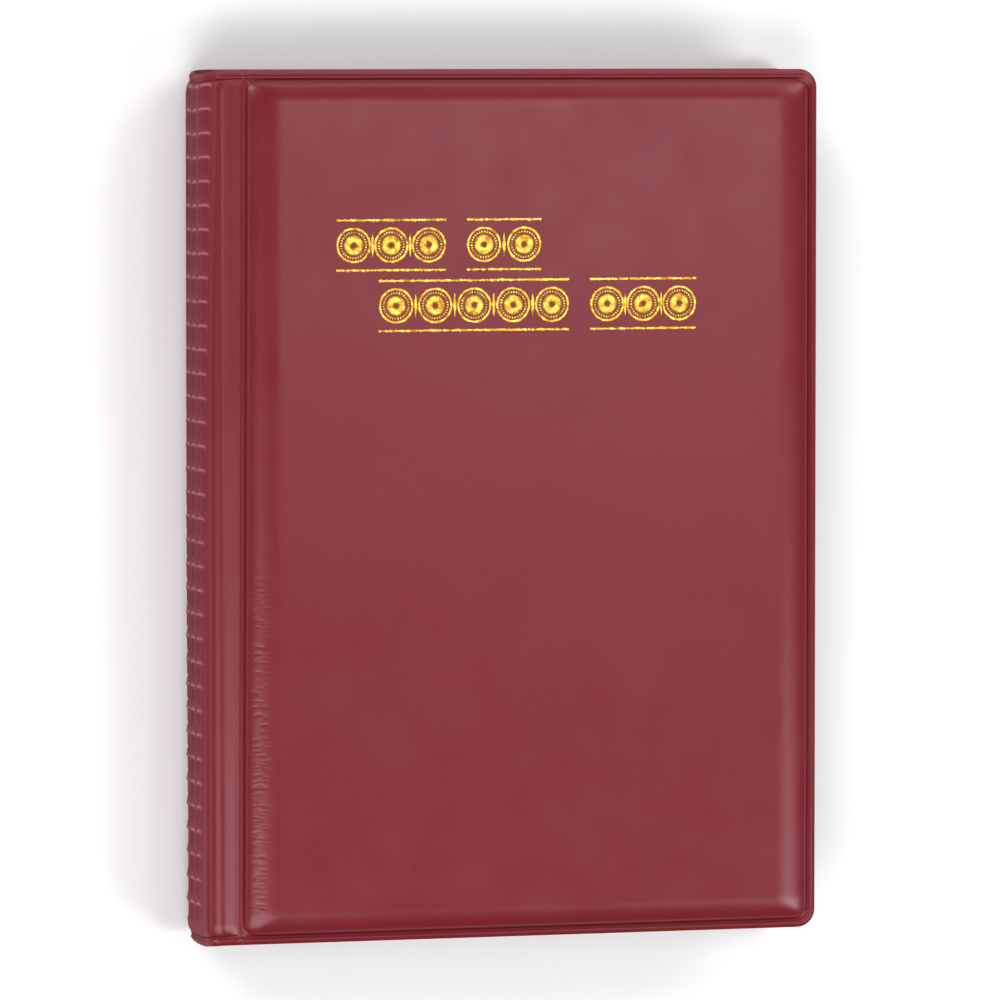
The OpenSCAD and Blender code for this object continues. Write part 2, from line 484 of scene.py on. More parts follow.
@dataclass(frozen=True)
class StampedGold:
    """Hot-stamped gold foil: a bright metal skin pressed into the film, broken where it didn't take.

    The eye sees yellow gold with random brown-gold patches that are partly a painted reflection, painted brown
    shade along its edges, and flecks of the film's red.
    """

    name: str
    colour: str
    # Brown-gold of the random patches, partly a painted reflection.
    deep: str
    # Painted shade along the foil's edges.
    scorched: str
    film: str
    crinkle_mm: float = 1.4
    fleck_mm: float = 0.55

    def build(self) -> bpy.types.Material:
        """Makes the material.

        Returns:
            The material. It reads how near a place is to the stamp's edge, where it paints shade.
        """
        material, tree, place = new_material(self.name)
        crinkle = add_node(
            tree, "ShaderNodeTexNoise", {"Vector": place, "Scale": per_metre(self.crinkle_mm), "Detail": 4.0}
        )
        bare = add_node(
            tree,
            "ShaderNodeTexNoise",
            {"Vector": place, "Scale": per_metre(self.fleck_mm), "Detail": 5.0, "Roughness": 0.7},
        )
        worn = add_node(
            tree, "ShaderNodeMapRange", {"Value": bare.outputs["Fac"], "From Min": 0.59, "From Max": 0.63}
        )
        kept = add_node(tree, "ShaderNodeMath", {0: 1.0, 1: worn.outputs["Result"]}, operation="SUBTRACT")
        # Random browner patches: partly the foil's uneven tone, partly painted to stand in for its uneven
        # reflection.
        mottle_and_reflection_mask = add_node(
            tree, "ShaderNodeMapRange", {"Value": crinkle.outputs["Fac"], "From Min": 0.42, "From Max": 0.68}
        )
        metal = add_node(
            tree,
            "ShaderNodeMix",
            {0: mottle_and_reflection_mask.outputs["Result"], 6: linear(self.colour), 7: linear(self.deep)},
            data_type="RGBA",
        )
        # Painted shade: the foil is painted a brown gold towards the edge of each of its parts.
        rim = add_node(tree, "ShaderNodeAttribute", attribute_name="rim").outputs["Fac"]
        edge_shade_mask = add_node(tree, "ShaderNodeMapRange", {"Value": rim, "From Min": 0.4, "From Max": 1.0})
        edged = add_node(
            tree,
            "ShaderNodeMix",
            {0: edge_shade_mask.outputs["Result"], 6: metal.outputs[2], 7: linear(self.scorched)},
            data_type="RGBA",
        )
        colour = add_node(
            tree,
            "ShaderNodeMix",
            {0: worn.outputs["Result"], 6: edged.outputs[2], 7: linear(self.film)},
            data_type="RGBA",
        )
        relief = add_node(
            tree, "ShaderNodeBump", {"Height": crinkle.outputs["Fac"], "Strength": 1.0, "Distance": 0.15 * MM}
        )
        shader = add_node(
            tree,
            "ShaderNodeBsdfPrincipled",
            {
                "Base Color": colour.outputs[2],
                "Metallic": kept.outputs[0],
                "Roughness": 0.3,
                "Normal": relief.outputs["Normal"],
            },
        )
        add_node(tree, "ShaderNodeOutputMaterial", {"Surface": shader.outputs[0]})
        return material


@dataclass(frozen=True)
class PressedSheet:
    """Pressed greyboard or foamed polyethylene sheet: dull and speckled, with a soft uneven surface."""

    name: str
    colour: str
    speck: str
    speck_mm: float
    depth_mm: float

    def build(self) -> bpy.types.Material:
        """Makes the material.

        Returns:
            The material.
        """
        material, tree, place = new_material(self.name)
        cells = add_node(
            tree, "ShaderNodeTexNoise", {"Vector": place, "Scale": per_metre(self.speck_mm), "Detail": 6.0}
        )
        colour = add_node(
            tree,
            "ShaderNodeMix",
            {0: cells.outputs["Fac"], 6: linear(self.colour), 7: linear(self.speck)},
            data_type="RGBA",
        )
        relief = add_node(
            tree,
            "ShaderNodeBump",
            {"Height": cells.outputs["Fac"], "Strength": 0.8, "Distance": self.depth_mm * MM},
        )
        shader = add_node(
            tree,
            "ShaderNodeBsdfPrincipled",
            {"Base Color": colour.outputs[2], "Roughness": 0.85, "Normal": relief.outputs["Normal"]},
        )
        add_node(tree, "ShaderNodeOutputMaterial", {"Surface": shader.outputs[0]})
        return material


FINISHES = {
    # Soft PVC off polished rollers: burgundy satin, with broad soft lights on its pads and sharper ones
    # on its welds.
    Slot.COVER: SoftPvc(
        "calendered_pvc_cover",
        colour="#802530",
        shade="#7a222d",
        # Painted highlight on the spine's embossed ridges, and painted shade in its cells.
        rubbed="#c47a82",
        pressed="#6c0c18",
        roughness=0.31,
    ),
    # The same film off a matt roller, seen from its back: paler, duller and grained.
    Slot.LINING: SoftPvc(
        "calendered_pvc_lining",
        colour="#7c4347",
        shade="#733d41",
        rubbed="#7c4347",
        pressed="#733d41",
        roughness=0.5,
        grain_mm=0.6,
        grain_depth_mm=0.03,
    ),
    # Cast PVC, a little milky: what lies behind it shows through soft streaks of light.
    Slot.CLEAR: ClearPvc("clear_pvc_film", "#f8fafb", roughness=0.12, transmission=0.78),
    # The same film fused under a ribbed electrode: whitish bars.
    Slot.WELD: ClearPvc("welded_pvc_seam", "#f2f5f6", roughness=0.35, transmission=0.35, ripple_mm=2.0),
    # Hot-stamping foil: mirror gold, patchy in part as a painted reflection, with painted brown shade at its
    # edges.
    Slot.GOLD: StampedGold(
        "hot_stamped_gold", colour="#fce068", deep="#c98a2c", scorched="#8e5a20", film="#802530"
    ),
    # Blown polyethylene: off-white with fine cells.
    Slot.FOAM: PressedSheet("polyethylene_foam", "#ece8df", "#d8d3c8", speck_mm=1.2, depth_mm=0.1),
    # Pressed waste paper: grey, flecked and dull.
    Slot.BOARD: PressedSheet("pressed_greyboard", "#a39a8c", "#7f776a", speck_mm=0.8, depth_mm=0.05),
}


class Wardrobe:
    """Makes each finish once and puts it on the pieces."""

    def __init__(self) -> None:
        """Makes the materials."""
        self.made = {slot: finish.build() for slot, finish in FINISHES.items()}

    def dress(self, piece: bpy.types.Object, slot: Slot) -> bpy.types.Object:
        """Gives a piece the finish of a slot.

        Args:
            piece: The piece.
            slot: The slot that it belongs to.

        Returns:
            The same piece.
        """
        piece.data.materials.clear()
        piece.data.materials.append(self.made[slot])
        return piece


# ---------------------------------------------------------------- places


def node_box(name: str) -> tuple[Vector, Vector]:
    """Lowest and highest corner of a CAD node, in millimetres."""
    low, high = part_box(name)
    return Vector(low) / MM, Vector(high) / MM


@dataclass(frozen=True)
class AlbumPlaces:
    """Places read from the CAD frame, in millimetres. Heights are counted from the middle plane."""

    half_h: float
    spine_x: float
    strip_x0: float
    strip_x1: float
    panel_x0: float
    fore_x: float
    mid_z: float
    spine_half: float
    lining_in: float
    lining_out: float
    weld_top: float
    band_top: float
    pad_top: float

    @classmethod
    def read(cls) -> "AlbumPlaces":
        """Reads the places from the nodes' boxes.

        Returns:
            The places.
        """
        skin = node_box("front_skin")
        lining = node_box("front_lining")
        strip = node_box("front_strip_skin")
        weld = node_box("front_hinge_weld")
        spine = node_box("spine_skin")
        mid_z = (spine[0].z + spine[1].z) / 2.0
        return cls(
            half_h=skin[1].y,
            spine_x=spine[0].x,
            strip_x0=strip[0].x,
            strip_x1=strip[1].x,
            panel_x0=skin[0].x,
            fore_x=skin[1].x,
            mid_z=mid_z,
            spine_half=spine[1].z - mid_z,
            lining_in=lining[0].z - mid_z,
            lining_out=lining[1].z - mid_z,
            weld_top=weld[1].z - mid_z,
            band_top=strip[1].z - mid_z,
            pad_top=skin[1].z - mid_z,
        )

    @property
    def seam_x(self) -> float:
        """Where a cover's film and the spine's film meet, in the middle of the strip."""
        return (self.strip_x0 + self.strip_x1) / 2.0

    @property
    def shoulder_r(self) -> float:
        """Outer radius of the film at the shoulder."""
        return self.strip_x0 - self.spine_x

    def lift(self, side: Side, points: np.ndarray) -> np.ndarray:
        """Turns heights above the middle plane into heights in the frame.

        Args:
            side: The side of the plane that the points lie on.
            points: The points, with heights above the plane.

        Returns:
            The points in the frame.
        """
        lifted = points.copy()
        lifted[..., 2] = self.mid_z + side.value * points[..., 2]
        return lifted


# ---------------------------------------------------------------- covers


@dataclass
class Cover:
    """One half of the album's case: a padded cover, its strip, its shoulder and half of the spine.

    All sizes are in millimetres. The rim, the slopes and the strip's ends are widths seen from above, the
    hinge's foot and skew and the pattern's shift and skew are ways off the straight place, and the dips are
    how far the spine's ends are drawn in.
    """

    at: AlbumPlaces
    side: Side
    film_t: float = 0.35
    corner_r: float = 3.8
    rim_w: float = 1.92
    side_slope_w: float = 7.8
    end_slope_w: float = 5.6
    slope_power: float = 1.7
    strip_end_w: float = 2.6
    hinge_foot: float = -0.35
    hinge_skew: float = 0.45
    hinge_sink: float = 0.22
    swell: float = 0.05
    swell_length: float = 55.0
    crease_count: int = 340
    crease_w: float = 0.17
    row_count: int = 35
    row_pitch: float = 4.96
    row_top: float = 88.16
    column_w: float = 5.15
    pattern_shift: float = 0.6
    pattern_skew: float = 1.9
    cell_h: float = 0.2
    tick_h: float = 0.22
    dip_top: float = 0.9
    dip_bottom: float = -0.6

    @property
    def seam_s(self) -> float:
        """Way round from the spine's middle line to the strip's seam."""
        return self.arc_end + self.at.seam_x - self.at.strip_x0

    @property
    def arc_end(self) -> float:
        """Way round from the spine's middle line to where the shoulder runs into the strip."""
        return self.at.spine_half + self.at.shoulder_r * math.pi / 2.0

    @property
    def hinge_x(self) -> float:
        """The middle of the hinge weld."""
        return (self.at.strip_x1 + self.at.panel_x0) / 2.0

    def inset(self, x: np.ndarray, y: np.ndarray) -> np.ndarray:
        """Distance from the outline of the case, which has two round corners at the fore-edge.

        Args:
            x: Places across the cover.
            y: Places along the cover.

        Returns:
            The distance, above 0 inside the outline.
        """
        qx = x - (self.at.fore_x - self.corner_r)
        qy = np.abs(y) - (self.at.half_h - self.corner_r)
        outside = np.hypot(np.maximum(qx, 0.0), np.maximum(qy, 0.0))
        return self.corner_r - outside - np.minimum(np.maximum(qx, qy), 0.0)

    def rim(self, d: np.ndarray) -> np.ndarray:
        """Relief of the weld rim: a rolled edge, then a wide and a narrow bead.

        Args:
            d: Distance from the edge.

        Returns:
            Height above the plain weld.
        """
        roll = -0.36 * np.clip(1.0 - d / 0.75, 0.0, 1.0) ** 1.7
        beads = 0.13 * bump(d - 0.8, 0.27) + 0.12 * bump(d - 1.62, 0.14)
        return roll + beads - 0.12 * bump(d - 1.28, 0.15) - 0.1 * bump(d - self.rim_w, 0.13)

    def pad(self, x: np.ndarray, y: np.ndarray) -> np.ndarray:
        """Section of the pad on all four sides.

        Args:
            x: Places across the cover.
            y: Places along the cover.

        Returns:
            The height, from 0 at the pad's foot to 1 at its top.
        """
        left = np.maximum(1.0 - (x - self.at.panel_x0 - self.hinge_foot) / self.side_slope_w, 0.0)
        right = np.maximum(1.0 - (self.at.fore_x - self.rim_w - x) / self.side_slope_w, 0.0)
        ends = np.maximum(1.0 - (self.at.half_h - self.rim_w - np.abs(y)) / self.end_slope_w, 0.0)
        soft = (left**2.4 + right**2.4 + ends**2.4) ** (1.0 / 2.4)
        crisp = np.minimum((left**8.0 + right**8.0 + ends**8.0) ** 0.125, 1.0)
        reach = np.clip(crisp + (soft - crisp) * np.sqrt(1.0 - crisp), 0.0, 1.0)
        # The foam's corner is round, so that the film runs into the level top without a line.
        eased = 1.15 * reach * reach / (reach + 0.15)
        return rise(1.0 - eased, self.slope_power)

    def strip_rise(self, x: np.ndarray) -> np.ndarray:
        """Section of the strip.

        Args:
            x: Places across the cover.

        Returns:
            The height: 1 at the shoulder, falling to a little under 0 at the hinge weld.
        """
        foot = self.at.strip_x1 + 0.25
        way = np.clip((foot - x) / (foot - self.at.strip_x0), 0.0, 1.0)
        sunk = self.hinge_sink * smooth(1.0 - np.maximum(x - foot, 0.0))
        return (1.0 + sunk) * (1.0 - (1.0 - way) ** 1.2) - sunk

    def end_fall(self, y: np.ndarray) -> np.ndarray:
        """How full the strip and spine are near their ends: 0 at the weld rim, 1 further in."""
        return rise((self.at.half_h - self.rim_w - np.abs(y)) / self.strip_end_w, self.slope_power)

    def hinge_relief(self, x: np.ndarray) -> np.ndarray:
        """Relief of the hinge weld: a thin bead between two pressed lines.

        Args:
            x: Places across the cover.

        Returns:
            Height above the plain weld.
        """
        off, line_off, line_w = x - self.hinge_x, 0.36, 0.17
        lines = bump(off + line_off, line_w) + bump(off - line_off, line_w)
        return 0.12 * bump(off, line_w) - 0.08 * lines

    def height(self, x: np.ndarray, y: np.ndarray) -> np.ndarray:
        """Shape of the outer film over the cover and its strip.

        Args:
            x: Places across the cover.
            y: Places along the cover.

        Returns:
            Height above the middle plane.
        """
        at = self.at
        section = self.pad(x, y)
        pad = (at.pad_top - at.weld_top) * section
        strip = (at.band_top - at.weld_top) * self.strip_rise(x) * self.end_fall(y)
        swell = self.swell * waves(x, y, self.swell_length, 4 + self.side.value) * section**4
        welds = self.rim(self.inset(x, y)) + self.hinge_relief(x)
        return at.weld_top + pad + strip + welds + swell - self.swell

    def creases(self, x: np.ndarray, y: np.ndarray) -> np.ndarray:
        """Fine cross creases in the film on the hinge-side slope, over the lower half of the cover.

        Args:
            x: Places across the cover.
            y: Places along the cover.

        Returns:
            Their depth, as a height below 0.
        """
        rng = np.random.default_rng(71)
        total = np.zeros(np.broadcast(x, y).shape)
        across = x - self.at.panel_x0
        for _ in range(self.crease_count):
            centre = rng.uniform(-84.0, -6.0)
            start = rng.uniform(0.2, 3.2)
            length = rng.uniform(1.0, 2.6)
            tilt = rng.uniform(-0.15, 0.15)
            depth = rng.uniform(0.012, 0.038) * min(1.0, (4.0 - centre) / 40.0)
            along = smooth((across - start) / 0.7) * smooth((start + length - across) / 0.9)
            total -= depth * along * bump(y - centre - tilt * across, self.crease_w)
        return total

    def build_cover_film(self) -> bpy.types.Object:
        """Makes the padded outer film of the cover, from the middle of the strip to the fore-edge.

        Returns:
            The piece.
        """
        at = self.at
        level_x0 = at.panel_x0 + self.side_slope_w + 0.6
        foot_x = at.fore_x - self.rim_w
        level_x1 = foot_x - self.side_slope_w - 0.4
        x = steps(
            (at.seam_x, at.strip_x1 - 0.3, 0.3),
            (at.strip_x1 - 0.3, at.panel_x0 + 0.5, 0.1),
            (at.panel_x0 + 0.5, level_x0, 0.22),
            (level_x0, level_x1, 2.2),
            (level_x1, foot_x, 0.22),
            (foot_x, at.fore_x, 0.125),
        )
        foot_y = at.half_h - self.rim_w
        level_y = foot_y - self.end_slope_w
        # The grid is as fine as the creases where the front cover has them.
        crease_top = -4.0
        fine = 0.2 if self.side is Side.FRONT else 1.6
        y = steps(
            (-at.half_h, -foot_y, 0.125),
            (-foot_y, -level_y, 0.22),
            (-level_y, crease_top, fine),
            (crease_top, level_y, 1.6),
            (level_y, foot_y, 0.22),
            (foot_y, at.half_h, 0.125),
        )
        gx, gy = np.meshgrid(x, y, indexing="ij")
        gx, gy = round_corners(gx, gy, at.fore_x, at.half_h, self.corner_r)
        top = self.height(gx, gy)
        if self.side is Side.FRONT:
            top = top + self.creases(gx, gy)
        near_hinge = smooth((gx - at.seam_x) / 2.0) * smooth((at.panel_x0 + 12.0 - gx) / 12.0)
        gx = gx + self.hinge_skew * near_hinge * gy / at.half_h
        low = np.maximum(top - self.film_t, at.lining_out + 0.02)
        upper = at.lift(self.side, stack(gx, gy, top))
        lower = at.lift(self.side, stack(gx, gy, low))
        return mesh_object(f"{self.side.prefix}_cover_film", [(upper, lower)])

    def build_foam(self) -> bpy.types.Object:
        """Makes the foam that fills the pad between the board and the outer film.

        Returns:
            The piece.
        """
        at = self.at
        board_low, board_high = node_box(f"{self.side.prefix}_board")
        board = max(abs(board_low.z - at.mid_z), abs(board_high.z - at.mid_z)) + 0.02
        margin = self.rim_w + 0.5
        start, end_x, end_y = at.panel_x0 + 0.6, at.fore_x - margin, at.half_h - margin
        edge = 6.0
        x = steps((start, start + edge, 0.5), (start + edge, end_x - edge, 3.0), (end_x - edge, end_x, 0.5))
        y = steps((-end_y, -end_y + edge, 0.5), (-end_y + edge, end_y - edge, 3.0), (end_y - edge, end_y, 0.5))
        gx, gy = np.meshgrid(x, y, indexing="ij")
        gx, gy = round_corners(gx, gy, end_x, end_y, 2.2)
        top = self.height(gx, gy) - self.film_t - 0.12
        low = np.minimum(board, top - 0.02)
        upper, lower = (at.lift(self.side, stack(gx, gy, h)) for h in (top, low))
        return mesh_object(f"{self.side.prefix}_foam_sheet", [(upper, lower)])

    def emboss(self, s: np.ndarray, y: np.ndarray) -> np.ndarray:
        """Relief of the spine: three columns of cells, a little askew, each with a raised tick along its top.

        Args:
            s: Way round the spine from its middle line.
            y: Way along the spine.

        Returns:
            Height above the plain film.
        """
        askew = self.side.value * s - self.pattern_shift - self.pattern_skew * y / self.at.half_h
        column = np.clip(np.round(askew / self.column_w), -1, 1)
        u = askew / self.column_w - column
        row = (self.row_top - y) / self.row_pitch
        v = row - np.floor(row)
        inside = (np.abs(u) < 0.5) & (row > 0.0) & (row < self.row_count)
        edge = smooth((0.5 - np.abs(u)) * 7.0)
        arch = (v - 0.16) * self.row_pitch - 1.4 * u * u
        tick = bump(arch, 0.27) * smooth((0.43 - np.abs(u)) * 8.0)
        post = bump((np.abs(u) - 0.36) * self.column_w, 0.22)
        post = post * smooth((v - 0.14) * 6.0) * smooth((0.95 - v) * 4.0)
        hollow = edge * smooth((v - 0.2) * 6.0) * smooth((1.0 - v) * 6.0)
        relief = self.tick_h * np.maximum(tick, post) - self.cell_h * hollow
        return np.where(inside, relief, 0.0)

    def band(self, s: np.ndarray, y: np.ndarray, depth: float) -> np.ndarray:
        """Points of the film round the spine, the shoulder and half of the strip.

        Args:
            s: Way round from the spine's middle line.
            y: Way along the spine, before its ends are drawn in.
            depth: How far the face lies below the outermost plain film.

        Returns:
            The points, with heights above the middle plane.
        """
        at = self.at
        r = at.shoulder_r
        angle = np.clip((s - at.spine_half) / r, 0.0, math.pi / 2.0)
        on_strip = np.maximum(s - self.arc_end, 0.0)
        base_x = at.strip_x0 - r * np.cos(angle) + on_strip
        base_h = np.minimum(s, at.spine_half) + r * np.sin(angle)
        out_x, out_h = -np.cos(angle), np.sin(angle)
        drop = (at.band_top - at.weld_top) * (1.0 - self.end_fall(y) * self.strip_rise(base_x))
        relief = self.rim(at.half_h - np.abs(y)) + self.emboss(s, y) * self.end_fall(y) - self.swell
        if depth > 0.0:
            off = np.maximum(relief - drop - depth, at.lining_out - at.band_top + 0.02)
        else:
            off = relief - drop
        return stack(base_x + out_x * off, self.drawn_in(s, y), base_h + out_h * off)

    def drawn_in(self, s: np.ndarray, y: np.ndarray) -> np.ndarray:
        """Draws the ends of the spine in, the most on its middle line.

        Args:
            s: Way round from the spine's middle line.
            y: Way along the spine.

        Returns:
            The new way along the spine.
        """
        dip = np.where(y > 0.0, self.dip_top, self.dip_bottom)
        drawn = dip * smooth(1.0 - s / self.seam_s) * (y / self.at.half_h) ** 2
        return y - np.sign(y) * drawn

    def band_grid(self, ds: float, dy: float) -> tuple[np.ndarray, np.ndarray]:
        """The grid of ways round and along the spine, from its middle line to the strip's seam.

        Args:
            ds: Spacing round the spine.
            dy: Spacing along the spine, away from its ends.

        Returns:
            The grid's ways round and along.
        """
        at = self.at
        around = steps((0.0, self.seam_s, ds))
        edge = at.half_h - self.rim_w
        along = steps((-at.half_h, -edge, 0.15), (-edge, edge, dy), (edge, at.half_h, 0.15))
        return np.meshgrid(around, along, indexing="ij")

    def build_band_film(self) -> bpy.types.Object:
        """Makes the outer film of half the spine, the shoulder and half the strip.

        Returns:
            The piece, marked with its pattern's reach and with where highlight and shade are painted on its
            relief.
        """
        s, y = self.band_grid(0.24, 0.2)
        upper = self.at.lift(self.side, self.band(s, y, 0.0))
        lower = self.at.lift(self.side, self.band(s, y, self.film_t))
        film = mesh_object(f"{self.side.prefix}_spine_film", [(upper, lower)])
        askew = self.pattern_shift + self.pattern_skew * y / self.at.half_h
        reach = 1.5 * self.column_w + self.side.value * askew
        mark(film, "pattern", [smooth((reach + 0.6 - s) / 0.6)])
        # Above 0 the material paints highlight on the ridges; below 0 it paints shade in the cells.
        mark(film, "rubbed", [np.clip(self.emboss(s, y) / self.tick_h, -1.0, 1.0)])
        return film

    def build_cover_lining(self) -> bpy.types.Object:
        """Makes the lining film of the cover, from the middle of the strip to the fore-edge.

        Returns:
            The piece.
        """
        at = self.at
        edge = 2.0
        x = steps(
            (at.seam_x, at.strip_x1, 0.5),
            (at.strip_x1, at.panel_x0 + 0.6, 0.15),
            (at.panel_x0 + 0.6, at.fore_x - edge, 3.0),
            (at.fore_x - edge, at.fore_x, 0.2),
        )
        y = steps(
            (-at.half_h, -at.half_h + edge, 0.2),
            (-at.half_h + edge, at.half_h - edge, 3.0),
            (at.half_h - edge, at.half_h, 0.2),
        )
        gx, gy = np.meshgrid(x, y, indexing="ij")
        gx, gy = round_corners(gx, gy, at.fore_x, at.half_h, self.corner_r)
        d = self.inset(gx, gy)
        # The welds press a line into the lining too, and its edge is rolled.
        press = 0.12 * bump(d - self.rim_w, 0.3) + 0.1 * bump(gx - self.hinge_x, 0.4)
        press = press + 0.12 * np.clip(1.0 - d / 0.35, 0.0, 1.0) ** 2
        inner = at.lining_in + press
        outer = np.full_like(inner, at.lining_out)
        upper = at.lift(self.side, stack(gx, gy, outer))
        lower = at.lift(self.side, stack(gx, gy, inner))
        return mesh_object(f"{self.side.prefix}_cover_lining", [(upper, lower)])

    def build_band_lining(self) -> bpy.types.Object:
        """Makes the lining film inside half the spine, the shoulder and half the strip.

        Returns:
            The piece.
        """
        at = self.at
        s, y = self.band_grid(0.6, 2.5)
        r = at.shoulder_r
        angle = np.clip((s - at.spine_half) / r, 0.0, math.pi / 2.0)
        faces = []
        for level in (at.lining_out, at.lining_in):
            radius = r - (at.band_top - level)
            px = at.strip_x0 - radius * np.cos(angle) + np.maximum(s - self.arc_end, 0.0)
            ph = np.minimum(s, at.spine_half) + radius * np.sin(angle)
            faces.append(at.lift(self.side, stack(px, self.drawn_in(s, y), ph)))
        return mesh_object(f"{self.side.prefix}_spine_lining", [(faces[0], faces[1])])

    def dress(self, wardrobe: Wardrobe) -> None:
        """Builds this half's films, linings and foam, gives them and the board their finish, and hangs the foam
        on the panel's body.

        Args:
            wardrobe: The finishes.
        """
        name = self.side.prefix
        at = self.at
        strip, panel = f"{name}_strip", f"{name}_panel"
        z_weld = (at.mid_z + self.side.value * (at.lining_in + at.weld_top) / 2.0) * MM
        groove = ((at.strip_x1 - 0.1) * MM, 0.0, z_weld), ((at.panel_x0 + 0.1) * MM, 0.0, z_weld)
        spine_z = (at.mid_z + self.side.value * at.spine_half) * MM
        strip_z = (at.mid_z + self.side.value * at.band_top) * MM
        shoulder = (at.spine_x * MM, 0.0, spine_z), (at.strip_x0 * MM, 0.0, strip_z)

        cover = wardrobe.dress(self.build_cover_film(), Slot.COVER)
        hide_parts(f"{name}_skin", f"{name}_hinge_weld")
        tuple(groove[0])
        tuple(groove[1])
        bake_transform(cover)
        band = wardrobe.dress(self.build_band_film(), Slot.COVER)
        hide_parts("spine_skin", f"{name}_shoulder", f"{name}_strip_skin")
        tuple(shoulder[0])
        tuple(shoulder[1])
        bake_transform(band)
        lining = wardrobe.dress(self.build_cover_lining(), Slot.LINING)
        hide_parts(f"{name}_lining")
        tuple(groove[0])
        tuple(groove[1])
        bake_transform(lining)
        inner = wardrobe.dress(self.build_band_lining(), Slot.LINING)
        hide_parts("spine_lining", f"{name}_strip_lining")
        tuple(shoulder[0])
        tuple(shoulder[1])
        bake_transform(inner)
        for piece in (cover, band, lining, inner):
            LOG.info("%s: %d faces", piece.name, len(piece.data.polygons))
        foam = wardrobe.dress(self.build_foam(), Slot.FOAM)
        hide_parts(f"{name}_foam")
        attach(foam, panel)
        wardrobe.dress(frame["nodes"][f"{name}_board"], Slot.BOARD)


# ---------------------------------------------------------------- foil ornament


@dataclass(frozen=True)
class CoinRow:
    """One row of coins: where it starts across the foil, its line from the top, its width and its coins."""

    start: float
    line: int
    width: float
    coins: int


